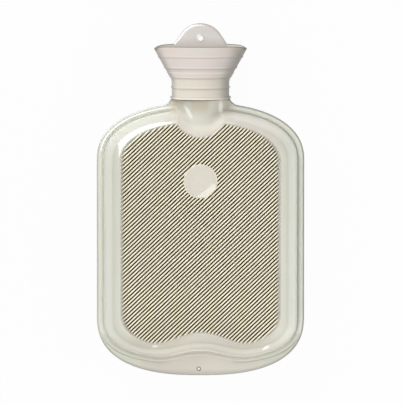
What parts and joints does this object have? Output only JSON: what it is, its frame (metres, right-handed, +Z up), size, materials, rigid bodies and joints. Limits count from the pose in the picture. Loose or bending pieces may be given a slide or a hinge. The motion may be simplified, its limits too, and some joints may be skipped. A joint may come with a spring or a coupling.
{
  "type": "hot water bottle",
  "caption": "Soft plastic hot water bottle lying on its back, with diagonally ribbed panels, welded flange, filling funnel and a screw stopper with a hanging tab",
  "frame": {"origin": "on the surface the bottle lies on, under the middle of its width and length", "axes": "+X to the right seen from the front, +Y along the bottle towards the stopper, +Z up out of the front panel"},
  "size_m": [0.1986, 0.3379, 0.0583],
  "materials": {
    "body_plastic": "soft milky translucent plastic, satin",
    "socket_plastic": "rigid moulded plastic, matte",
    "funnel_plastic": "soft opaque plastic, satin",
    "washer_rubber": "matte rubber",
    "stopper_plastic": "rigid plastic, glossy"
  },
  "bodies": {
    "bottle": {"bottle_body": "body_plastic", "thread_socket": "socket_plastic", "filler_funnel": "funnel_plastic"},
    "washer": {"stopper_washer": "washer_rubber"},
    "stopper": {"stopper": "stopper_plastic"}
  },
  "joints": [
    {"name": "stopper_rise", "type": "slide", "parent": "bottle", "child": "washer", "axis": [0, 1, 0], "range_m": [0, 0.015]},
    {"name": "stopper_turn", "type": "hinge", "parent": "washer", "child": "stopper", "pos_m": [0, 0.107, 0.029], "axis": [0, 1, 0], "range_deg": [0, 1080]}
  ],
  "couplings": [
    {"joint": "stopper_rise", "follows": "stopper_turn", "m_per_rad": 0.00079577}
  ]
}
